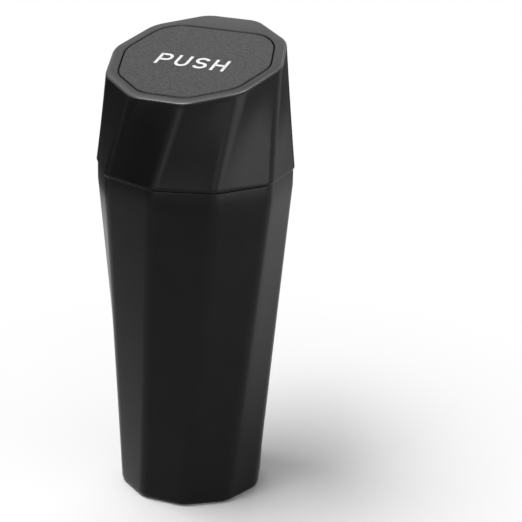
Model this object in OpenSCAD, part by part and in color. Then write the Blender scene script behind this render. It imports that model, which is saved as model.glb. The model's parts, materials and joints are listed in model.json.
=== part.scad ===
// Car trash bin with a spring flap lid.
// A ten-sided cup, a collar with a slanted top that plugs into it, and a push flap that swings
// inward on a steel pin and is closed by a torsion spring.
// Z = 0 is the face that the bin stands on. The hinge lies at the high, +Y side of the rim.

/* [Bin body] */
// Height of the body from its foot to the seam
body_h = 138; // [110:0.5:160]
// Width of the body across opposite corners at the seam
body_top_w = 79.2; // [72:0.2:84]
// Width of the body across opposite corners at the base
base_w = 60.2; // [54:0.2:70]
// How far the rounding of an upright corner reaches along each side
corner_cut = 3; // [1:0.1:4.5]
// Height of the untwisted band below the seam
band_h = 7; // [5:0.5:12]
// Wall of the body
body_wall = 1.8; // [1.2:0.1:2.6]
// Floor of the body
floor_t = 2.4; // [1.8:0.1:4]
// Rounding between the sides and the base
base_round = 2.5; // [1:0.1:4]
// Rounding between the inner wall and the floor
floor_round = 3; // [1:0.1:5]
// Depth of the recess under the floor
foot_h = 0.8; // [0.4:0.1:1.2]
// Width of the ring that the body stands on
foot_w = 3.2; // [2:0.1:6]
// Rounding of the body's upper edge
mouth_round = 0.5; // [0.2:0.1:0.8]

/* [Lid collar] */
// Width of the collar across opposite corners at the seam
seam_w = 80.2; // [74:0.2:86]
// Width of the slanted rim across opposite corners, seen from above
rim_w = 72.6; // [66:0.2:76]
// How far the rounding of a corner of the rim or the flap reaches along each side
rim_cut = 4; // [1:0.1:5.5]
// Height of the middle of the rim above the seam
collar_h = 43.1; // [36:0.1:60]
// Slope of the rim
rim_tilt = 15.2; // [8:0.2:22]
// Wall of the collar
collar_wall = 1.8; // [1.2:0.1:2.4]
// Thickness of the slanted top plate
plate_t = 2.2; // [1.6:0.1:3]
// Rounding of the rim's outer edge
rim_round = 1.1; // [0.4:0.1:1.6]
// Rounding of the collar's lower edge
lip_round = 0.6; // [0.3:0.1:1]

/* [Plug under the collar] */
// Wall of the plug
plug_wall = 1.6; // [1.2:0.1:2.4]
// Clearance between the plug and the body
plug_clear = 0.3; // [0.2:0.05:0.6]
// Length of the band that the plug leaves free
plug_short = 0.8; // [0.5:0.1:2]
// Thickness of the ledge that rests on the body
ledge_t = 1.6; // [1.2:0.1:2.4]
// Shut line between the collar and the body
seat_gap = 0.2; // [0.1:0.05:0.4]
// Lead-in chamfer at the end of the plug
plug_lead = 0.6; // [0.3:0.1:1]

/* [Push flap] */
// Width of the flap across opposite corners, seen from above
flap_w = 62; // [56:0.2:63]
// Distance of the flap's hinge edge from the middle, seen from above
hinge_edge = 23.2; // [21:0.1:24]
// Gap round the flap
flap_gap = 0.5; // [0.4:0.05:0.9]
// Thickness of the flap
flap_t = 2; // [1.6:0.1:2.2]
// Bevel on the facing edges of the flap and the top plate
edge_bevel = 0.35; // [0.2:0.05:0.6]
// Reach of the stop lip under the top plate
lip_reach = 1; // [0.6:0.1:1.3]
// Thickness of the stop lip
lip_t = 1.2; // [0.8:0.1:1.8]
// Clearance between the stop lip and the top plate
lip_clear = 0.15; // [0.1:0.05:0.4]
// Distance in front of the middle where the stop lip ends
lip_end = 10; // [4:0.5:16]
// Width of the rim rib under the flap
rib_w = 1.6; // [1.2:0.1:2.4]
// Depth of the stiffening ribs under the flap
rib_h = 2.4; // [1.4:0.1:3]

/* [Hinge] */
// Diameter of the hinge pin
pin_d = 2; // [1.6:0.1:2.4]
// Depth of the pin's axis below the top surface
axis_depth = 6; // [5.6:0.1:7]
// Distance of the pin's axis behind the flap's hinge edge
axis_back = 2.5; // [2.2:0.1:3.5]
// Diameter of the flap's hinge knuckles
knuckle_d = 5; // [4.4:0.1:5.6]
// Length of each knuckle
knuckle_w = 4; // [3:0.1:5]
// Free length between the knuckles for the spring
spring_bay = 12; // [9:0.5:14]
// Thickness of each hinge ear on the collar
ear_t = 3; // [2:0.1:4]
// End clearance between a knuckle and its ear
ear_clear = 0.3; // [0.2:0.05:0.6]
// Radial clearance of the pin in the knuckles
run_clear = 0.06; // [0.03:0.01:0.1]
// Radial clearance of the pin in the ears
pin_seat_clear = 0.02; // [0.01:0.01:0.05]
// Chamfer at the ends of the pin
pin_chamfer = 0.3; // [0.1:0.1:0.5]

/* [Spring] */
// Wire of the torsion spring
wire_d = 0.7; // [0.5:0.05:0.9]
// Mean diameter of the coil
coil_d = 4.4; // [3.6:0.1:4.8]
// Number of turns
turns = 7; // [4:1:9]
// Space between neighbouring turns
turn_gap = 0.15; // [0.1:0.05:0.3]
// Length of the leg under the flap
front_leg = 13; // [8:0.5:18]
// Length of the leg under the top plate
rear_leg = 5.5; // [4:0.25:6]
// Width of the slot that lets the front leg through the rib of the flap
leg_slot = 1.8; // [1.4:0.1:3]
// Clearance between a leg and the plate that it pushes
leg_clear = 0.1; // [0.05:0.05:0.3]

/* [Hidden] */

plastic_black = "#262627";
flap_black = "#2d2d2f";
steel = "#b9bbbe";
spring_steel = "#9a9da1";

// The cup has ten sides. One of them faces +Y at the rim and at the base.
sides = 10;
half_step = 180 / sides;
apothem = cos(half_step);
// Steps in a rounded corner, the share of a side that one corner may take, and the least rounding
corner_steps = 5;
corner_share = 0.48;
least_cut = 0.2;
// Levels in a twisted wall and steps in a rounded edge
wall_levels = 10;
round_steps = 3;
arc_fn = 64;
overlap = 0.6;
// How far an ear's gusset runs into the wall behind it
ear_sink = 0.5;

seam_z = body_h + seat_gap;
rim_z = seam_z + collar_h;
loft_top = body_h - band_h;
slope = tan(rim_tilt);
stretch = 1 / cos(rim_tilt);

axis_v = hinge_edge * stretch + axis_back;
knuckle_x = spring_bay / 2;
ear_x = knuckle_x + knuckle_w + ear_clear;
pin_len = 2 * (ear_x + ear_t);
lip_top = plate_t + lip_clear;
lip_low = lip_top + lip_t;

spring_pitch = wire_d + turn_gap;
spring_half = turns * spring_pitch / 2;
coil_steps = 14;
wire_sides = 8;
coil_r = coil_d / 2;
rear_tip_w = axis_depth - plate_t - leg_clear - wire_d / 2;
front_tip_w = axis_depth - flap_t - leg_clear - wire_d / 2;

// Angle of corner k. The two corners of the hinge side are numbers 0 and 1.
function corner_angle(k) = 90 - half_step + 2 * half_step * k;

// Circumradius of a side-to-side inset
function inset_radius(across, inset) = across / 2 - inset / apothem;

function polar(r, a) = [r * cos(a), r * sin(a)];
function mix(a, b, t) = a + (b - a) * t;
function unit(v) = v / norm(v);

// Corners rounded with a short parabola, which reaches cut along each side. An outline that
// lies inset within another keeps the same distance from it all round.
function soften(corners, cut, inset) =
    let (reach = max(least_cut, cut - inset * tan(half_step)))
    [for (k = [0 : sides - 1])
        let (
            p = corners[k],
            before = corners[(k + sides - 1) % sides] - p,
            after = corners[(k + 1) % sides] - p,
            a = p + min(reach, corner_share * norm(before)) * unit(before),
            b = p + min(reach, corner_share * norm(after)) * unit(after)
        )
        for (j = [0 : corner_steps])
            let (t = j / corner_steps)
            (1 - t) * (1 - t) * a + 2 * t * (1 - t) * p + t * t * b];

function decagon(across, inset, turn) =
    [for (k = [0 : sides - 1]) polar(inset_radius(across, inset), corner_angle(k) + turn)];

// One horizontal ring, turned by an angle
function level_ring(across, inset, z, turn) =
    [for (p = soften(decagon(across, inset, turn), corner_cut, inset)) [p.x, p.y, z]];

// A point of the slanted top, from its plan position and its height above that surface
function on_slope(p, w) =
    [p.x, p.y - w * sin(rim_tilt), rim_z + p.y * slope + w * cos(rim_tilt)];

// One ring of the slanted rim
function rim_ring(inset, w) =
    [for (p = soften(decagon(rim_w, inset, 0), rim_cut, inset)) on_slope(p, w)];

// Plan of the flap or of a shape that follows it: a decagon whose hinge side is moved in
function flap_plan(grow, edge) =
    let (
        far = decagon(flap_w, -grow, 0),
        right = cut_point(far[sides - 1], far[0], edge),
        left = cut_point(far[2], far[1], edge)
    )
    soften([for (k = [0 : sides - 1]) k == 0 ? right : k == 1 ? left : far[k]], rim_cut, -grow);

function cut_point(a, b, y) = [a.x + (y - a.y) / (b.y - a.y) * (b.x - a.x), y];

function flap_ring(grow, w) = [for (p = flap_plan(grow, hinge_edge + grow)) on_slope(p, w)];

// Straight lines between two rings, at part t of the way
function between(low, high, t) = [for (k = [0 : len(low) - 1]) mix(low[k], high[k], t)];

// Faces between successive rings. A capped skin has a flat face on its first and last ring,
// and a looped one joins its last ring to its first.
function skin_faces(count, size, looped) =
    concat(
        [for (i = [0 : count - (looped ? 1 : 2)], j = [0 : size - 1])
            let (
                a = i * size + j,
                b = i * size + (j + 1) % size,
                c = (i + 1) % count * size + j,
                d = (i + 1) % count * size + (j + 1) % size
            )
            each [[a, c, b], [b, c, d]]],
        looped ? [] : [
            [for (j = [0 : size - 1]) j],
            [for (j = [size - 1 : -1 : 0]) (count - 1) * size + j]
        ]
    );

module skin(rings, looped = false) {
    points = [for (r = rings) each r];
    polyhedron(points, skin_faces(len(rings), len(rings[0]), looped));
}

// Places its children in the plane of the slanted top: x across, y up the slope, z out of it
module on_lid() {
    translate([0, 0, rim_z])
        rotate([rim_tilt, 0, 0])
            children();
}

// Places its children on the hinge axis, still in the plane of the slanted top
module on_axis() {
    on_lid()
        translate([0, axis_v, -axis_depth])
            children();
}

// A flat outline in the plane of the slanted top, from its plan
module lid_outline(plan) {
    polygon([for (p = plan) [p.x, p.y * stretch]]);
}

// An outline drawn with x up the slope and y out of it, made w thick from x = x0
module across_lid(x0, w) {
    translate([x0, 0, 0])
        rotate([90, 0, 90])
            linear_extrude(w)
                children();
}

// The cup. Its upper corners lie half a step behind those of the rim, its base another half
// step behind, so every side twists on the way down.
function body_low(inset, z = 0) = level_ring(base_w, inset, z, -2 * half_step);
function body_high(inset, z = loft_top) = level_ring(body_top_w, inset, z, -half_step);
function body_wall_ring(inset, z) = between(body_low(inset), body_high(inset), z / loft_top);

module bin_body() {
    base_edge = [for (i = [0 : round_steps])
        let (a = 90 * i / round_steps)
        body_wall_ring(base_round * (1 - sin(a)), base_round * (1 - cos(a)))];
    outside = [for (i = [1 : wall_levels])
        body_wall_ring(0, mix(base_round, loft_top, i / wall_levels))];
    mouth = [for (i = [0 : round_steps])
        let (a = 90 * i / round_steps)
        body_high(mouth_round * (1 - cos(a)), body_h - mouth_round * (1 - sin(a)))];
    inside = [for (i = [wall_levels : -1 : 1])
        body_wall_ring(body_wall, mix(floor_t + floor_round, loft_top, i / wall_levels))];
    floor_edge = [for (i = [0 : round_steps])
        let (a = 90 * i / round_steps)
        body_wall_ring(body_wall + floor_round * (1 - cos(a)), floor_t + floor_round * (1 - sin(a)))];
    recess_r = (base_w / 2 - base_round) * apothem - foot_w;
    color(plastic_black)
        difference() {
            skin(concat(base_edge, outside, mouth, [body_high(body_wall, body_h)], inside, floor_edge));
            translate([0, 0, -1])
                cylinder(h = foot_h + 1, r = recess_r, $fn = arc_fn);
        }
}

// The collar: a twisted shell between the seam and the slanted rim, with the plug below it
function seam_ring(inset, z) = level_ring(seam_w, inset, z, -half_step);
function plug_ring(inset, z) = level_ring(body_top_w, body_wall + plug_clear + inset, z, -half_step);

module collar_shell() {
    rim_low = rim_ring(0, -rim_round);
    seam_high = seam_ring(0, seam_z + lip_round);
    plate_low = rim_ring(collar_wall, -plate_t);
    ledge_high = seam_ring(collar_wall, seam_z + ledge_t);
    plug_low = seam_z - seat_gap - band_h + plug_short;
    mouth = [
        flap_ring(flap_gap + edge_bevel, 0),
        flap_ring(flap_gap, -edge_bevel),
        flap_ring(flap_gap, -plate_t)
    ];
    inside = [for (i = [0 : wall_levels]) between(plate_low, ledge_high, i / wall_levels)];
    plug = [
        plug_ring(plug_wall, seam_z + ledge_t),
        plug_ring(plug_wall, plug_low),
        plug_ring(plug_lead, plug_low),
        plug_ring(0, plug_low + plug_lead),
        plug_ring(0, seam_z)
    ];
    lower_edge = [for (i = [0 : round_steps])
        let (a = 90 * i / round_steps)
        seam_ring(lip_round * (1 - sin(a)), seam_z + lip_round * (1 - cos(a)))];
    outside = [for (i = [1 : wall_levels - 1]) between(seam_high, rim_low, i / wall_levels)];
    rim_edge = [for (i = [0 : round_steps])
        let (a = 90 * i / round_steps)
        rim_ring(rim_round * (1 - cos(a)), -rim_round * (1 - sin(a)))];
    skin(concat(mouth, inside, plug, lower_edge, outside, rim_edge), looped = true);
}

// One ear under the land behind the flap, with a gusset that runs back into the wall
module hinge_ear() {
    eye_r = knuckle_d / 2;
    top = axis_depth - plate_t + overlap;
    low = eye_r / 5;
    past_corner = max(0, ear_x + ear_t - rim_w / 2 * sin(half_step));
    wall_y = rim_w / 2 * apothem - past_corner * tan(2 * half_step) - collar_wall + ear_sink;
    wall_v = wall_y * stretch - axis_v;
    difference() {
        across_lid(0, ear_t) {
            circle(r = eye_r, $fn = arc_fn);
            polygon([
                [-eye_r * 0.8, 0],
                [-eye_r * 0.6, top],
                [wall_v, top],
                [wall_v - (top + low) * slope, -low],
                [0, -eye_r]
            ]);
        }
        translate([-1, 0, 0])
            rotate([0, 90, 0])
                cylinder(h = ear_t + 2, r = pin_d / 2 + pin_seat_clear, $fn = arc_fn);
    }
}

module lid_collar() {
    color(plastic_black) {
        collar_shell();
        on_axis() {
            translate([ear_x, 0, 0])
                hinge_ear();
            translate([-ear_x - ear_t, 0, 0])
                hinge_ear();
        }
    }
}

// The flap's plate, flush with the top plate and bevelled like it
module flap_plate() {
    skin([flap_ring(0, -flap_t), flap_ring(0, -edge_bevel), flap_ring(-edge_bevel, 0)]);
}

// Rib round the underside, and the stop lip that reaches under the top plate at the free side
module flap_rim() {
    rib_low = flap_t - overlap;
    on_lid() {
        translate([0, 0, -lip_low])
            linear_extrude(lip_low - rib_low)
                difference() {
                    lid_outline(flap_plan(-rib_w / 4, hinge_edge - rib_w / 4));
                    lid_outline(flap_plan(-rib_w * 5 / 4, hinge_edge - rib_w * 5 / 4));
                    translate([spring_half - leg_slot / 2, hinge_edge - 3 * rib_w])
                        square([leg_slot, 6 * rib_w]);
                }
        translate([0, 0, -lip_low])
            linear_extrude(lip_t)
                difference() {
                    lid_outline(flap_plan(flap_gap + lip_reach, hinge_edge));
                    lid_outline(flap_plan(-rib_w, hinge_edge - rib_w));
                    translate([-flap_w, -lip_end * stretch])
                        square([2 * flap_w, flap_w]);
                }
    }
}

// One arm: it starts under the plate and ends in the knuckle round the pin
module flap_arm() {
    knuckle_r = knuckle_d / 2;
    plate_low = axis_depth - flap_t + overlap;
    difference() {
        across_lid(0, knuckle_w) {
            circle(r = knuckle_r, $fn = arc_fn);
            polygon([
                [0, knuckle_r],
                [-axis_back * 0.9, knuckle_r],
                [-axis_back - 0.4, plate_low],
                [-axis_back - 10, plate_low],
                [-axis_back - 6, 0.4],
                [0, -knuckle_r]
            ]);
        }
        translate([-1, 0, 0])
            rotate([0, 90, 0])
                cylinder(h = knuckle_w + 2, r = pin_d / 2 + run_clear, $fn = arc_fn);
    }
}

// Stiffening ribs: one in line with each arm and one across the middle
module flap_ribs() {
    height = rib_h + overlap;
    rib_x = knuckle_x + knuckle_w / 2;
    front_v = -(flap_w / 2 * apothem - rib_w) * stretch;
    back_v = axis_v - axis_back - 4;
    on_lid()
        translate([0, 0, -flap_t - rib_h]) {
            for (x = [-rib_x, rib_x])
                translate([x - rib_w / 2, front_v, 0])
                    cube([rib_w, back_v - front_v, height]);
            translate([-flap_w / 2 + rib_w, -rib_w / 2, 0])
                cube([flap_w - 2 * rib_w, rib_w, height]);
        }
}

module push_flap() {
    color(flap_black) {
        flap_plate();
        flap_rim();
        flap_ribs();
        on_axis() {
            translate([knuckle_x, 0, 0])
                flap_arm();
            translate([-knuckle_x - knuckle_w, 0, 0])
                flap_arm();
        }
    }
}

module hinge_pin() {
    color(steel)
        on_axis()
            rotate([0, 90, 0])
                translate([0, 0, -pin_len / 2])
                    rotate_extrude($fn = arc_fn)
                        polygon([
                            [0, 0],
                            [pin_d / 2 - pin_chamfer, 0],
                            [pin_d / 2, pin_chamfer],
                            [pin_d / 2, pin_len - pin_chamfer],
                            [pin_d / 2 - pin_chamfer, pin_len],
                            [0, pin_len]
                        ]);
}

// Centre line of the spring, round the hinge axis: rear leg, coil, front leg
spring_line = concat(
    [[-spring_half, rear_leg, rear_tip_w], [-spring_half, rear_leg / 2, mix(coil_r, rear_tip_w, 0.5)]],
    [for (i = [0 : turns * coil_steps])
        let (a = 360 * i / coil_steps)
        [mix(-spring_half, spring_half, i / (turns * coil_steps)), -coil_r * sin(a), coil_r * cos(a)]],
    [[spring_half, -front_leg / 2, mix(coil_r, front_tip_w, 0.5)], [spring_half, -front_leg, front_tip_w]]
);

// Rings of a round wire along a line that never runs along X
function wire_rings(line, d) =
    [for (i = [0 : len(line) - 1])
        let (
            along = unit(line[min(i + 1, len(line) - 1)] - line[max(i - 1, 0)]),
            out = unit(cross(along, [1, 0, 0])),
            side = cross(out, along)
        )
        [for (j = [0 : wire_sides - 1])
            let (a = -360 * j / wire_sides)
            line[i] + d / 2 * (out * cos(a) + side * sin(a))]];

module return_spring() {
    color(spring_steel)
        on_axis()
            skin(wire_rings(spring_line, wire_d));
}

bin_body();
lid_collar();
push_flap();
hinge_pin();
return_spring();
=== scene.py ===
"""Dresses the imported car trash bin: finishes, the coiled spring, the word on the flap, light and camera."""

import json
from math import cos, pi, radians, sin, tau

import bpy
from mathutils import Matrix, Vector

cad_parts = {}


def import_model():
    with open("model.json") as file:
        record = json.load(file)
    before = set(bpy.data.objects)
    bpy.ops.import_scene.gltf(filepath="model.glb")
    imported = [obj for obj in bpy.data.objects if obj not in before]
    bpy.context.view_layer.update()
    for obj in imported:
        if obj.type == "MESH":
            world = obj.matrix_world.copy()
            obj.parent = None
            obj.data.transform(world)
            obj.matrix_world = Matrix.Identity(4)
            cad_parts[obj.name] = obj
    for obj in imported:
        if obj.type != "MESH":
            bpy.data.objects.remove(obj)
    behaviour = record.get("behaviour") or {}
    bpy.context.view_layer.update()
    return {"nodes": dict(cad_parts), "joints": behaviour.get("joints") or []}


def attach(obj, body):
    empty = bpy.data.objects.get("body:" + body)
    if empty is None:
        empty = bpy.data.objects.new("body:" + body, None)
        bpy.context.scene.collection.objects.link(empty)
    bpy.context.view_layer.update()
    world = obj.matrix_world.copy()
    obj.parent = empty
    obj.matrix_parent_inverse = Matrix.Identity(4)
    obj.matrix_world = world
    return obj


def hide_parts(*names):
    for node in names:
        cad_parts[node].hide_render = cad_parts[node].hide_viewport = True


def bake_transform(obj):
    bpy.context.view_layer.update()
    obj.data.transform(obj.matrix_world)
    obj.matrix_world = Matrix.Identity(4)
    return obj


MM = 0.001

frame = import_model()
NODES = frame["nodes"]
HINGE = next(j for j in frame["joints"] if j["name"] == "flap_hinge")
AXIS = Vector(HINGE["pos_m"])

# The slanted top, as the source gives it: its slope, and the point on the cup's axis that it passes through
RIM_TILT = radians(15.2)
AXIS_DEPTH = 6 * MM
UP_SLOPE = Vector((0, cos(RIM_TILT), sin(RIM_TILT)))
OUT = Vector((0, -sin(RIM_TILT), cos(RIM_TILT)))
ACROSS = Vector((1, 0, 0))
ABOVE_AXIS = AXIS + AXIS_DEPTH * OUT
RIM_CENTRE = ABOVE_AXIS - UP_SLOPE * (ABOVE_AXIS.y / cos(RIM_TILT))


def on_lid(x, y, height):
    """A point from its place on the slanted top, in metres: across, up the slope, out of it."""
    return RIM_CENTRE + x * ACROSS + y * UP_SLOPE + height * OUT


def on_axis(x, y, height):
    """A point from its place beside the hinge axis: along it, up the slope, out of the slanted top."""
    return AXIS + x * ACROSS + y * UP_SLOPE + height * OUT


# Node materials

# Noise keeps mostly between these values, so they are stretched over a finish's whole range
NOISE_LOW = 0.3
NOISE_HIGH = 0.7

# How far up a surface faces, from 0 for a wall to 1 for a level top: where the gloss of an edge comes in above the
# walls, and where it goes out again below the slanted top
EDGE_IN = (0.25, 0.6)
EDGE_OUT = (0.93, 0.96)


class Nodes:
    """Short calls for building one material's node tree."""

    def __init__(self, name):
        self.material = bpy.data.materials.new(name)
        self.material.use_nodes = True
        self.tree = self.material.node_tree
        self.tree.nodes.clear()
        self.shader = self.add("ShaderNodeBsdfPrincipled")
        output = self.add("ShaderNodeOutputMaterial")
        self.link(self.shader.outputs["BSDF"], output.inputs["Surface"])
        place = self.add("ShaderNodeTexCoord")
        self.coords = place.outputs["Object"]
        self.normal = place.outputs["Normal"]

    def add(self, kind, **settings):
        node = self.tree.nodes.new(kind)
        for key, value in settings.items():
            setattr(node, key, value)
        return node

    def link(self, source, target):
        self.tree.links.new(source, target)

    def set(self, socket, value):
        """Gives a socket of the shader one value."""
        self.shader.inputs[socket].default_value = value

    def feed(self, socket, source):
        """Gives a socket of the shader a pattern."""
        self.link(source, self.shader.inputs[socket])

    def noise(self, scale, detail, roughness, stretch=(1, 1, 1)):
        mapping = self.add("ShaderNodeMapping")
        mapping.inputs["Scale"].default_value = stretch
        self.link(self.coords, mapping.inputs["Vector"])
        node = self.add("ShaderNodeTexNoise")
        node.inputs["Scale"].default_value = scale
        node.inputs["Detail"].default_value = detail
        node.inputs["Roughness"].default_value = roughness
        self.link(mapping.outputs["Vector"], node.inputs["Vector"])
        return node.outputs["Fac"]

    def cells(self, scale):
        node = self.add("ShaderNodeTexVoronoi")
        node.inputs["Scale"].default_value = scale
        self.link(self.coords, node.inputs["Vector"])
        return node.outputs["Distance"]

    def span(self, value, low, high, start=0.0, end=1.0):
        node = self.add("ShaderNodeMapRange", clamp=True)
        node.inputs["From Min"].default_value = start
        node.inputs["From Max"].default_value = end
        node.inputs["To Min"].default_value = low
        node.inputs["To Max"].default_value = high
        self.link(value, node.inputs["Value"])
        return node.outputs["Result"]

    def swing(self, noise, low=0, high=1):
        """Spreads a noise evenly from low to high."""
        return self.span(noise, low, high, NOISE_LOW, NOISE_HIGH)

    def maths(self, operation, a, b):
        node = self.add("ShaderNodeMath", operation=operation)
        self.link(a, node.inputs[0])
        self.link(b, node.inputs[1])
        return node.outputs["Value"]

    def edge(self):
        """1 on rounded and bevelled upper edges, 0 on walls and on the slanted top."""
        parts = self.add("ShaderNodeSeparateXYZ")
        self.link(self.normal, parts.inputs["Vector"])
        up = parts.outputs["Z"]
        return self.maths("MINIMUM", self.span(up, 0, 1, *EDGE_IN), self.span(up, 1, 0, *EDGE_OUT))

    def blend(self, factor, a, b):
        node = self.add("ShaderNodeMix", data_type="RGBA")
        self.link(factor, node.inputs["Factor"])
        node.inputs["A"].default_value = (*a, 1)
        node.inputs["B"].default_value = (*b, 1)
        return node.outputs["Result"]

    def bump(self, height, distance, strength):
        node = self.add("ShaderNodeBump")
        node.inputs["Distance"].default_value = distance
        node.inputs["Strength"].default_value = strength
        self.link(height, node.inputs["Height"])
        self.feed("Normal", node.outputs["Normal"])


# The finishes. The scale of a noise is in waves per metre, and each pair of colours is its darkest and lightest.


def gloss_black(name):
    """Black ABS from a polished mould: satin gloss, with the faint waviness and haze of moulded plastic."""
    dark, light = (0.0042, 0.0042, 0.0043), (0.0052, 0.0052, 0.0054)
    face_gloss, edge_gloss = 0.11, 0.52
    n = Nodes(name)
    haze = n.noise(60, detail=1, roughness=0.5)
    fine = n.noise(320, detail=1, roughness=0.5)
    waves = n.noise(140, detail=1, roughness=0.4)
    n.feed("Base Color", n.blend(n.swing(haze), dark, light))
    n.feed("Roughness", n.maths("ADD", n.swing(haze, 0.28, 0.32), n.swing(fine, -0.01, 0.01)))
    n.feed("Specular IOR Level", n.span(n.edge(), face_gloss, edge_gloss))
    n.bump(waves, distance=0.06 * MM, strength=0.35)
    return n.material


def grained_black(name):
    """Black ABS from a spark-eroded mould: a fine, even grain that turns gloss into a soft sheen."""
    dark, light = (0.006, 0.006, 0.007), (0.036, 0.036, 0.039)
    face_gloss, edge_gloss = 0.19, 0.45
    edge_smoothness = 0.5
    n = Nodes(name)
    edge = n.edge()
    pits = n.cells(2600)
    fine = n.noise(2200, detail=3, roughness=0.6)
    coarse = n.noise(950, detail=2, roughness=0.7)
    grain = n.maths("ADD", n.span(pits, 0, 0.4, 0, 0.9), n.span(coarse, 0, 0.6, 0.25, 0.75))
    n.feed("Base Color", n.blend(n.span(coarse, 0, 1, 0.35, 0.65), dark, light))
    n.feed("Roughness", n.maths("MULTIPLY", n.swing(fine, 0.46, 0.6), n.span(edge, 1, edge_smoothness)))
    n.feed("Specular IOR Level", n.span(edge, face_gloss, edge_gloss))
    n.bump(grain, distance=0.08 * MM, strength=0.7)
    return n.material


def drawn_steel(name, light, scale, stretch=(1, 1, 1)):
    """Steel with fine lines, drawn out along the axis with the smallest stretch."""
    dark = tuple(0.8 * c for c in light)
    n = Nodes(name)
    n.set("Metallic", 1.0)
    lines = n.noise(scale, detail=3, roughness=0.6, stretch=stretch)
    n.feed("Base Color", n.blend(n.swing(lines), dark, light))
    n.feed("Roughness", n.swing(lines, 0.22, 0.4))
    n.bump(lines, distance=0.02 * MM, strength=0.4)
    return n.material


def printed_white(name):
    """White pad print: slightly uneven, with the grain below it showing through."""
    dark, light = (0.74, 0.74, 0.74), (0.84, 0.84, 0.84)
    n = Nodes(name)
    n.set("Specular IOR Level", 0.4)
    grain = n.noise(2600, detail=2, roughness=0.5)
    n.feed("Base Color", n.blend(n.swing(grain), dark, light))
    n.feed("Roughness", n.swing(grain, 0.4, 0.55))
    n.bump(grain, distance=0.03 * MM, strength=0.4)
    return n.material


# Steel of the spring, and of the pin, whose lines run along it
SPRING_TONE = (0.42, 0.42, 0.43)
SPRING_LINES = 1500
PIN_TONE = (0.6, 0.6, 0.61)
PIN_LINES = 900
PIN_STRETCH = (0.05, 1, 1)


def dress(node, material):
    """Gives a CAD node its finish."""
    mesh = NODES[node].data
    mesh.materials.clear()
    mesh.materials.append(material)


def new_mesh(name, vertices, faces, material):
    mesh = bpy.data.meshes.new(name)
    mesh.from_pydata([tuple(v) for v in vertices], [], faces)
    mesh.materials.append(material)
    obj = bpy.data.objects.new(name, mesh)
    bpy.context.scene.collection.objects.link(obj)
    return obj


# The cup and the collar, from the same rings as the source but with many more levels and softer corners

# Lengths under the names that they have in the source
SIDES = 10
HALF_STEP = 180 / SIDES
APOTHEM = cos(radians(HALF_STEP))
BODY_H = 138 * MM
BODY_TOP_W = 79.2 * MM
BASE_W = 60.2 * MM
BAND_H = 7 * MM
BODY_WALL = 1.8 * MM
FLOOR_T = 2.4 * MM
BASE_ROUND = 2.5 * MM
FLOOR_ROUND = 3 * MM
FOOT_H = 0.8 * MM
FOOT_W = 3.2 * MM
MOUTH_ROUND = 0.5 * MM
SEAM_W = 80.2 * MM
RIM_W = 72.6 * MM
COLLAR_WALL = 1.8 * MM
PLATE_T = 2.2 * MM
RIM_ROUND = 1.1 * MM
LIP_ROUND = 0.6 * MM
PLUG_WALL = 1.6 * MM
PLUG_CLEAR = 0.3 * MM
PLUG_SHORT = 0.8 * MM
LEDGE_T = 1.6 * MM
SEAT_GAP = 0.2 * MM
PLUG_LEAD = 0.6 * MM
FLAP_W = 62 * MM
HINGE_EDGE = 23.2 * MM
FLAP_GAP = 0.5 * MM
EDGE_BEVEL = 0.35 * MM
CORNER_CUT = 3 * MM
RIM_CUT = 4 * MM

# How fine the surfaces are, and how much of a side a corner may take
CORNER_SHARE = 0.48
LEAST_CUT = 0.2 * MM
CORNER_STEPS = 10
SIDE_STEPS = 4
WALL_LEVELS = 28
ROUND_STEPS = 5
# Edges that turn by more degrees than this stay sharp
SHARP_FROM = 24

SEAM_Z = BODY_H + SEAT_GAP
LOFT_TOP = BODY_H - BAND_H


def soften(corners, cut, inset):
    """Rounds each corner of an outline with a short parabola, and divides the sides between them."""
    reach = max(LEAST_CUT, cut - inset * sin(radians(HALF_STEP)) / APOTHEM)

    def along(p, q):
        return p + min(reach, CORNER_SHARE * (q - p).length) * (q - p).normalized()

    points = []
    for k, p in enumerate(corners):
        after = corners[(k + 1) % SIDES]
        back, ahead = along(p, corners[k - 1]), along(p, after)
        for j in range(CORNER_STEPS + 1):
            t = j / CORNER_STEPS
            points.append(back * (1 - t) ** 2 + p * (2 * t * (1 - t)) + ahead * t**2)
        points += [ahead.lerp(along(after, p), i / SIDE_STEPS) for i in range(1, SIDE_STEPS)]
    return points


def decagon(across, inset, turn):
    """Corners of a regular outline, seen from above. Corners 0 and 1 belong to the hinge side."""
    radius = across / 2 - inset / APOTHEM
    angles = [radians(90 - HALF_STEP + 2 * HALF_STEP * k + turn) for k in range(SIDES)]
    return [Vector((radius * cos(a), radius * sin(a))) for a in angles]


def level_ring(across, inset, z, turn):
    return [Vector((*p, z)) for p in soften(decagon(across, inset, turn), CORNER_CUT, inset)]


def on_slope(plan, height):
    """A point over or under the slanted top, from its place seen from above."""
    return on_lid(plan.x, plan.y / cos(RIM_TILT), height)


def rim_ring(inset, height):
    return [on_slope(p, height) for p in soften(decagon(RIM_W, inset, 0), RIM_CUT, inset)]


def flap_ring(grow, height):
    """A ring that follows the flap: its hinge side is moved in to a straight edge."""
    far = decagon(FLAP_W, -grow, 0)
    edge = HINGE_EDGE + grow

    def edge_point(a, b):
        return a.lerp(b, (edge - a.y) / (b.y - a.y))

    plan = [edge_point(far[-1], far[0]), edge_point(far[2], far[1])] + far[2:]
    return [on_slope(p, height) for p in soften(plan, RIM_CUT, -grow)]


def between(low, high, t):
    return [a.lerp(b, t) for a, b in zip(low, high)]


def quarter():
    """Sine and cosine over a quarter turn."""
    turns = [pi / 2 * i / ROUND_STEPS for i in range(ROUND_STEPS + 1)]
    return [(sin(a), cos(a)) for a in turns]


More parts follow.
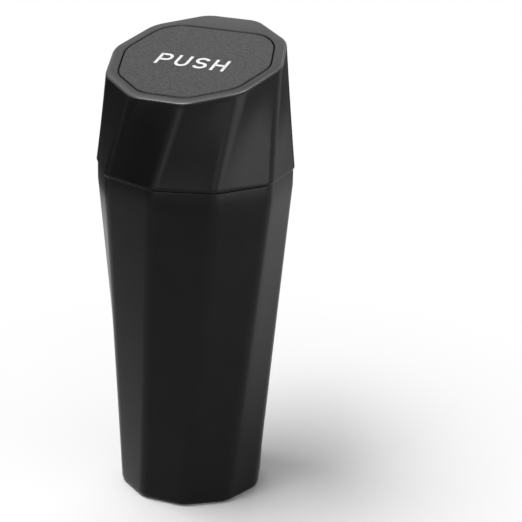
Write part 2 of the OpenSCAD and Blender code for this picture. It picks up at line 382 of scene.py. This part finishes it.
def skin_mesh(rings, looped):
    """Joins each ring to the next, and the last one to the first or to caps at both ends."""
    size = len(rings[0])
    vertices = [p for r in rings for p in r]
    faces = []
    count = len(rings)
    for i in range(count if looped else count - 1):
        for j in range(size):
            a = i * size + j
            b = i * size + (j + 1) % size
            c = (i + 1) % count * size + j
            d = (i + 1) % count * size + (j + 1) % size
            faces.append((a, b, d, c))
    if not looped:
        faces.append(tuple(reversed(range(size))))
        faces.append(tuple((count - 1) * size + j for j in range(size)))
    return vertices, faces


def smooth(obj):
    obj.data.shade_smooth()
    obj.data.set_sharp_from_angle(angle=radians(SHARP_FROM))


def base_ring(inset, z):
    return level_ring(BASE_W, inset, z, -2 * HALF_STEP)


def band_ring(inset, z):
    """A ring of the upright band at the cup's mouth."""
    return level_ring(BODY_TOP_W, inset, z, -HALF_STEP)


def wall_ring(inset, z):
    """A ring of the cup's twisted wall, part of the way from its base to its band."""
    return between(base_ring(inset, z), band_ring(inset, z), z / LOFT_TOP)


def recess_ring(z):
    """A round ring under the floor, with a point for each point of the base's outline."""
    radius = (BASE_W / 2 - BASE_ROUND) * APOTHEM - FOOT_W
    return [Vector((*(radius * p.xy.normalized()), z)) for p in base_ring(BASE_ROUND, z)]


def cup(material):
    """The cup, from the recess under its foot up the outside, over the mouth and down to the floor inside."""
    outside = LOFT_TOP - BASE_ROUND
    inner_low = FLOOR_T + FLOOR_ROUND
    inside = LOFT_TOP - inner_low
    rings = [recess_ring(FOOT_H), recess_ring(0)]
    rings += [wall_ring(BASE_ROUND * (1 - s), BASE_ROUND * (1 - c)) for s, c in quarter()]
    rings += [wall_ring(0, BASE_ROUND + outside * i / WALL_LEVELS) for i in range(1, WALL_LEVELS + 1)]
    rings += [band_ring(MOUTH_ROUND * (1 - c), BODY_H - MOUTH_ROUND * (1 - s)) for s, c in quarter()]
    rings.append(band_ring(BODY_WALL, BODY_H))
    rings += [wall_ring(BODY_WALL, inner_low + inside * i / WALL_LEVELS) for i in range(WALL_LEVELS, 0, -1)]
    rings += [
        wall_ring(BODY_WALL + FLOOR_ROUND * (1 - c), FLOOR_T + FLOOR_ROUND * (1 - s)) for s, c in quarter()
    ]
    obj = new_mesh("cup_shell", *skin_mesh(rings, looped=False), material)
    smooth(obj)
    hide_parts("bin_body")
    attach(obj, "bin")


def seam_ring(inset, z):
    return level_ring(SEAM_W, inset, z, -HALF_STEP)


def plug_ring(inset, z):
    return band_ring(BODY_WALL + PLUG_CLEAR + inset, z)


def collar(material):
    """The collar, from the flap's opening down the inside, round the plug and the lip, and up to the rim."""
    rim_low = rim_ring(0, -RIM_ROUND)
    seam_high = seam_ring(0, SEAM_Z + LIP_ROUND)
    plate_low = rim_ring(COLLAR_WALL, -PLATE_T)
    ledge_high = seam_ring(COLLAR_WALL, SEAM_Z + LEDGE_T)
    plug_low = LOFT_TOP + PLUG_SHORT
    rings = [
        flap_ring(FLAP_GAP + EDGE_BEVEL, 0),
        flap_ring(FLAP_GAP, -EDGE_BEVEL),
        flap_ring(FLAP_GAP, -PLATE_T),
    ]
    rings += [between(plate_low, ledge_high, i / WALL_LEVELS) for i in range(WALL_LEVELS + 1)]
    rings += [
        plug_ring(PLUG_WALL, SEAM_Z + LEDGE_T),
        plug_ring(PLUG_WALL, plug_low),
        plug_ring(PLUG_LEAD, plug_low),
        plug_ring(0, plug_low + PLUG_LEAD),
        plug_ring(0, SEAM_Z),
    ]
    rings += [seam_ring(LIP_ROUND * (1 - s), SEAM_Z + LIP_ROUND * (1 - c)) for s, c in quarter()]
    rings += [between(seam_high, rim_low, i / WALL_LEVELS) for i in range(1, WALL_LEVELS)]
    rings += [rim_ring(RIM_ROUND * (1 - c), -RIM_ROUND * (1 - s)) for s, c in quarter()]
    vertices, faces = skin_mesh(rings, looped=True)
    for x0 in (EAR_X, -EAR_X - EAR_T):
        add_ear(x0, vertices, faces)
    obj = new_mesh("collar_shell", vertices, faces, material)
    smooth(obj)
    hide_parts("lid_collar")
    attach(obj, "lid")


# The two ears under the land, which hold the pin

KNUCKLE_R = 2.5 * MM
EAR_X = 10.3 * MM
EAR_T = 2.95 * MM
EAR_TOP = 4.0 * MM
EAR_LOW = 0.5 * MM
EAR_SINK = 0.5 * MM
# How far an ear's top reaches forward of the axis, as a share of the knuckle's radius
EAR_NOSE = 0.6
AXIS_BACK = 2.5 * MM
EYE_STEPS = 24


def wall_behind(x):
    """How far the wall lies up the slope from the hinge axis, under the land."""
    past_corner = max(0, abs(x) - RIM_W / 2 * sin(radians(HALF_STEP)))
    wall = RIM_W / 2 * APOTHEM - past_corner * sin(radians(2 * HALF_STEP)) / cos(radians(2 * HALF_STEP))
    return (wall - COLLAR_WALL + EAR_SINK - HINGE_EDGE) / cos(RIM_TILT) - AXIS_BACK


def add_ear(x0, vertices, faces):
    """One ear, outlined beside the hinge axis: round at the pin and straight back to the wall."""
    turns = [radians(180 + 90 * i / EYE_STEPS) for i in range(EYE_STEPS + 1)]
    front = [(KNUCKLE_R * cos(a), KNUCKLE_R * sin(a)) for a in turns]
    lean = (EAR_TOP + EAR_LOW) * sin(RIM_TILT) / cos(RIM_TILT)
    first = len(vertices)
    for x in (x0, x0 + EAR_T):
        wall = wall_behind(x)
        outline = [(-KNUCKLE_R * EAR_NOSE, EAR_TOP)] + front + [(wall - lean, -EAR_LOW), (wall, EAR_TOP)]
        vertices += [on_axis(x, v, w) for v, w in outline]
    size = len(outline)
    for i in range(size):
        j = (i + 1) % size
        faces.append((first + j, first + i, first + size + i, first + size + j))
    faces.append(tuple(first + i for i in range(size)))
    faces.append(tuple(first + size + i for i in reversed(range(size))))


# The torsion spring: rear leg, coil round the pin, front leg, as the source lays it out

WIRE_D = 0.7 * MM
COIL_R = 2.2 * MM
TURNS = 7
PITCH = 0.85 * MM
FRONT_LEG = 13 * MM
REAR_LEG = 5.5 * MM
REAR_TIP = 3.35 * MM
FRONT_TIP = 3.55 * MM
COIL_STEPS = 40
WIRE_SIDES = 14
LEG_STEPS = 8


def spring_line():
    """Points along the wire's middle, from the rear leg's tip to the front leg's."""
    half = TURNS * PITCH / 2
    steps = TURNS * COIL_STEPS
    coil = []
    for i in range(steps + 1):
        turn = tau * i / COIL_STEPS
        x = -half + 2 * half * i / steps
        coil.append(on_axis(x, -COIL_R * sin(turn), COIL_R * cos(turn)))
    rear_tip = on_axis(-half, REAR_LEG, REAR_TIP)
    front_tip = on_axis(half, -FRONT_LEG, FRONT_TIP)
    rear = [rear_tip.lerp(coil[0], i / LEG_STEPS) for i in range(LEG_STEPS)]
    front = [coil[-1].lerp(front_tip, (i + 1) / LEG_STEPS) for i in range(LEG_STEPS)]
    return rear + coil + front


def wire(name, line, diameter, material):
    """A round wire along a line of points, closed at both ends."""
    vertices = []
    faces = []
    last = len(line) - 1
    for i, point in enumerate(line):
        along = (line[min(i + 1, last)] - line[max(i - 1, 0)]).normalized()
        out = along.cross(ACROSS).normalized()
        side = out.cross(along)
        for j in range(WIRE_SIDES):
            turn = tau * j / WIRE_SIDES
            vertices.append(point + diameter / 2 * (out * cos(turn) + side * sin(turn)))
    for i in range(last):
        for j in range(WIRE_SIDES):
            a = i * WIRE_SIDES + j
            b = i * WIRE_SIDES + (j + 1) % WIRE_SIDES
            faces.append((a, b, b + WIRE_SIDES, a + WIRE_SIDES))
    faces.append(tuple(range(WIRE_SIDES)))
    faces.append(tuple(last * WIRE_SIDES + j for j in reversed(range(WIRE_SIDES))))
    obj = new_mesh(name, vertices, faces, material)
    obj.data.shade_smooth()
    return obj


def spring():
    steel = drawn_steel("spring_wire_finish", SPRING_TONE, SPRING_LINES)
    piece = wire("spring_wire", spring_line(), WIRE_D, steel)
    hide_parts("return_spring")
    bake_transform(piece)


# The word on the flap: flat strokes of one width with round turns

LETTER_H = 8.35 * MM
LETTER_W = 5.9 * MM
LETTER_GAP = 2.0 * MM
STROKE = 1.25 * MM
WORD_MIDDLE = -4.0 * MM
PRINT_T = 0.06 * MM
# Radius of the bowl of the P, as a share of its height, and how far the ends of the S rise past its sides, in degrees
P_BOWL_R = 0.28
S_ENDS = 20
LEAST_MITRE = 0.5
ARC_STEPS = 12


def arc(cx, cy, rx, ry, start, end):
    """Points along part of an ellipse, from one angle to another, in degrees."""
    turns = [radians(start + (end - start) * i / ARC_STEPS) for i in range(ARC_STEPS + 1)]
    return [(cx + rx * cos(a), cy + ry * sin(a)) for a in turns]


def letter_strokes(letter):
    """Centre lines of a letter in a box one wide and one high, less half a stroke on each side."""
    w, h = LETTER_W - STROKE, LETTER_H - STROKE
    if letter == "P":
        r = P_BOWL_R * h
        bowl = [(0, h)] + arc(w - r, h - r, r, r, 90, -90) + [(0, h - 2 * r)]
        return [[(0, -STROKE / 2), (0, h + STROKE / 2)], bowl]
    if letter == "U":
        r = w / 2
        return [[(0, h + STROKE / 2)] + arc(r, r, r, r, 180, 360) + [(w, h + STROKE / 2)]]
    if letter == "S":
        rx, ry = w / 2, h / 4
        top = arc(rx, h - ry, rx, ry, S_ENDS, 270)
        low = arc(rx, ry, rx, ry, 90, S_ENDS - 180)
        return [top + low[1:]]
    return [
        [(0, -STROKE / 2), (0, h + STROKE / 2)],
        [(w, -STROKE / 2), (w, h + STROKE / 2)],
        [(0, h / 2), (w, h / 2)],
    ]


def ribbon(points, left, base, vertices, faces):
    """Adds one stroke as a closed strip: a top, an underside and its edges."""
    path = [Vector((x, y)) for x, y in points]
    last = len(path) - 1
    first = len(vertices)
    for i, p in enumerate(path):
        before = (p - path[i - 1]).normalized() if i > 0 else (path[1] - p).normalized()
        after = (path[i + 1] - p).normalized() if i < last else before
        along = (before + after).normalized()
        reach = STROKE / 2 / max(LEAST_MITRE, along.dot(before))
        side = Vector((-along.y, along.x)) * reach
        for q in (p + side, p - side):
            for height in (PRINT_T, -PRINT_T):
                vertices.append(on_lid(left + q.x, base + q.y, height))
    for i in range(last):
        a, b = first + 4 * i, first + 4 * (i + 1)
        faces.append((a, a + 2, b + 2, b))
        faces.append((a + 1, b + 1, b + 3, a + 3))
        faces.append((a, b, b + 1, a + 1))
        faces.append((a + 2, a + 3, b + 3, b + 2))
    for end in (first, first + 4 * last):
        faces.append((end, end + 1, end + 3, end + 2))


def flap_word():
    vertices = []
    faces = []
    word = "PUSH"
    length = len(word) * LETTER_W + (len(word) - 1) * LETTER_GAP
    base = WORD_MIDDLE - LETTER_H / 2 + STROKE / 2
    for i, letter in enumerate(word):
        left = -length / 2 + i * (LETTER_W + LETTER_GAP) + STROKE / 2
        for stroke in letter_strokes(letter):
            ribbon(stroke, left, base, vertices, faces)
    piece = new_mesh("flap_print", vertices, faces, printed_white("print_white"))
    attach(piece, "flap")


# Floor, light and camera

# Picture size of the photograph, and what was solved from its edges
PHOTO_PX = 522
FOCAL_PX = 1716.2
SENSOR = 36.0
CAMERA_AT = Vector((278.0, -592.4, 340.7)) * MM
CAMERA_TURN = radians(22.76)
CAMERA_DOWN = radians(20.41)
CAMERA_ROLL = radians(-1.48)
NEAR_CLIP = 10 * MM

# Way the camera looks, seen from above, and the way across it, to the right
VIEW_WAY = Vector((-sin(CAMERA_TURN), cos(CAMERA_TURN), 0))
VIEW_RIGHT = Vector((cos(CAMERA_TURN), sin(CAMERA_TURN), 0))
UP = Vector((0, 0, 1))


def camera():
    """The photograph's own camera."""
    data = bpy.data.cameras.new("camera")
    data.sensor_width = SENSOR
    data.lens = FOCAL_PX / PHOTO_PX * SENSOR
    data.clip_start = NEAR_CLIP
    obj = bpy.data.objects.new("camera", data)
    forward = VIEW_WAY * cos(CAMERA_DOWN) - UP * sin(CAMERA_DOWN)
    up = VIEW_RIGHT.cross(forward)
    rolled_right = VIEW_RIGHT * cos(CAMERA_ROLL) - up * sin(CAMERA_ROLL)
    rolled_up = VIEW_RIGHT * sin(CAMERA_ROLL) + up * cos(CAMERA_ROLL)
    axes = Matrix((rolled_right, rolled_up, -forward)).transposed().to_4x4()
    obj.matrix_world = Matrix.Translation(CAMERA_AT) @ axes
    bpy.context.scene.collection.objects.link(obj)
    bpy.context.scene.camera = obj


def seen_rays(tree):
    """One for rays that see the background: straight from the camera, mirrored or passed through."""
    path = tree.nodes.new("ShaderNodeLightPath")
    total = path.outputs["Is Camera Ray"]
    for kind in ("Is Glossy Ray", "Is Transmission Ray"):
        node = tree.nodes.new("ShaderNodeMath")
        node.operation = "MAXIMUM"
        tree.links.new(total, node.inputs[0])
        tree.links.new(path.outputs[kind], node.inputs[1])
        total = node.outputs["Value"]
    return total


# How brightly the world lights the object
WORLD_LIGHT = 0.15


def world():
    """A soft even light from all sides, in front of a white background."""
    scene_world = bpy.data.worlds.new("studio")
    scene_world.use_nodes = True
    tree = scene_world.node_tree
    background = tree.nodes["Background"]
    background.inputs["Color"].default_value = (1, 1, 1, 1)
    level = tree.nodes.new("ShaderNodeMapRange")
    level.inputs["To Min"].default_value = WORLD_LIGHT
    level.inputs["To Max"].default_value = 1
    tree.links.new(seen_rays(tree), level.inputs["Value"])
    tree.links.new(level.outputs["Result"], background.inputs["Strength"])
    bpy.context.scene.world = scene_world


# The floor: half its width, its finish, and the distances over which it runs into the white background
FLOOR_REACH = 3.0
FLOOR_GREY = 0.97
FLOOR_ROUGHNESS = 0.9
FLOOR_GLOSS = 0.1
WHITE_FROM = 0.05
WHITE_TO = 0.24


def plain(name, grey):
    """A material of one grey."""
    material = bpy.data.materials.new(name)
    material.use_nodes = True
    shader = material.node_tree.nodes["Principled BSDF"]
    shader.inputs["Base Color"].default_value = (grey, grey, grey, 1)
    return material, shader


def floor():
    """A wide pale floor that takes the object's shadow, and runs into the white background away from it."""
    material, shader = plain("floor_white", FLOOR_GREY)
    shader.inputs["Roughness"].default_value = FLOOR_ROUGHNESS
    shader.inputs["Specular IOR Level"].default_value = FLOOR_GLOSS
    tree = material.node_tree
    coords = tree.nodes.new("ShaderNodeTexCoord")
    distance = tree.nodes.new("ShaderNodeVectorMath")
    distance.operation = "LENGTH"
    tree.links.new(coords.outputs["Object"], distance.inputs[0])
    far = tree.nodes.new("ShaderNodeMapRange")
    far.interpolation_type = "SMOOTHSTEP"
    far.inputs["From Min"].default_value = WHITE_FROM
    far.inputs["From Max"].default_value = WHITE_TO
    tree.links.new(distance.outputs["Value"], far.inputs["Value"])
    share = tree.nodes.new("ShaderNodeMath")
    share.operation = "MULTIPLY"
    tree.links.new(far.outputs["Result"], share.inputs[0])
    tree.links.new(seen_rays(tree), share.inputs[1])
    white = tree.nodes.new("ShaderNodeEmission")
    mix = tree.nodes.new("ShaderNodeMixShader")
    tree.links.new(share.outputs["Value"], mix.inputs["Fac"])
    tree.links.new(shader.outputs["BSDF"], mix.inputs[1])
    tree.links.new(white.outputs["Emission"], mix.inputs[2])
    tree.links.new(mix.outputs["Shader"], tree.nodes["Material Output"].inputs["Surface"])
    signs = ((-1, -1), (1, -1), (1, 1), (-1, 1))
    corners = [(x * FLOOR_REACH, y * FLOOR_REACH, 0) for x, y in signs]
    obj = new_mesh("floor", corners, [(0, 1, 2, 3)], material)


# The lamps and cards, in metres and degrees. Radiance 1 is as bright as the white background.

OVERHEAD_Z = 1.25
# Name, place along the camera's view and to its right, width, length, radiance
KEY_LIGHT = ("key_light", -0.12, -0.38, 0.45, 0.9, 10.5)
EDGE_LIGHT = ("edge_light", 0.24, 0.16, 0.25, 0.25, 22)
TOP_LIGHT = ("top_light", 1.4, 0.0, 1.1, 1.4, 1.7)

PANEL_AWAY = 0.66
PANEL_H = 0.12
# Name, azimuth, height above the floor, width, radiance
PANELS = (
    ("right_light", -10, 0.04, 0.56, 8.2),
    ("front_right_light", -50, 0.16, 0.2, 4.4),
    ("front_light", -88, 0.1, 0.16, 6.8),
)

CARD_GREY = 0.05
# Name, azimuth, distance, width, height
CARDS = (
    ("front_left_flag", -140, 0.6, 0.56, 0.26),
    ("front_flag", -82, 0.34, 0.2, 0.05),
    ("left_flag", 162, 0.34, 0.36, 0.2),
    ("right_flag", 92, 0.4, 0.3, 0.12),
)


def lamp(name, at, rotation, width, length, radiance):
    """An evenly bright rectangle. The camera sees only what lies behind it."""
    data = bpy.data.lights.new(name, "AREA")
    data.shape = "RECTANGLE"
    data.size = width
    data.size_y = length
    data.energy = radiance * pi * width * length
    obj = bpy.data.objects.new(name, data)
    obj.location = at
    obj.rotation_euler = rotation
    obj.visible_camera = False
    bpy.context.scene.collection.objects.link(obj)
    return obj


def overhead(name, along, right, width, length, radiance):
    """A softbox that hangs level, in line with the view."""
    at = along * VIEW_WAY + right * VIEW_RIGHT + OVERHEAD_Z * UP
    return lamp(name, at, (0, 0, CAMERA_TURN), width, length, radiance)


def panel(name, azimuth, lift, width, radiance):
    """A low, upright softbox that faces the object."""
    turn = radians(azimuth)
    at = Vector((PANEL_AWAY * cos(turn), PANEL_AWAY * sin(turn), lift + PANEL_H / 2))
    lamp(name, at, (pi / 2, 0, turn + pi / 2), width, PANEL_H, radiance)


def card(name, azimuth, distance, width, height, material):
    """A grey card on the floor that only mirrored light meets."""
    turn = radians(azimuth)
    middle = Vector((distance * cos(turn), distance * sin(turn), 0))
    side = width / 2 * Vector((-sin(turn), cos(turn), 0))
    up = height * UP
    corners = [middle - side, middle + side, middle + side + up, middle - side + up]
    obj = new_mesh(name, corners, [(0, 1, 2, 3)], material)
    obj.visible_camera = False
    obj.visible_shadow = False
    obj.visible_diffuse = False


def lights():
    """Overhead softboxes light the top and the floor. Low panels from the front to the right give the collar its
    streaks, and cards keep the edges of the far facets and the band under the seam dark.
    """
    overhead(*KEY_LIGHT)
    edge_light = overhead(*EDGE_LIGHT)
    # It only brightens the rounded rim, and doesn't fill the shadow
    edge_light.visible_diffuse = False
    overhead(*TOP_LIGHT)
    for values in PANELS:
        panel(*values)
    material, _ = plain("card_grey", CARD_GREY)
    for values in CARDS:
        card(*values, material)


def finishes():
    cup(gloss_black("body_finish"))
    collar(gloss_black("collar_finish"))
    dress("push_flap", grained_black("flap_finish"))
    dress("hinge_pin", drawn_steel("pin_finish", PIN_TONE, PIN_LINES, PIN_STRETCH))


def main():
    camera()
    finishes()
    spring()
    flap_word()
    world()
    floor()
    lights()
    scene = bpy.context.scene
    scene.view_settings.view_transform = "Standard"


main()
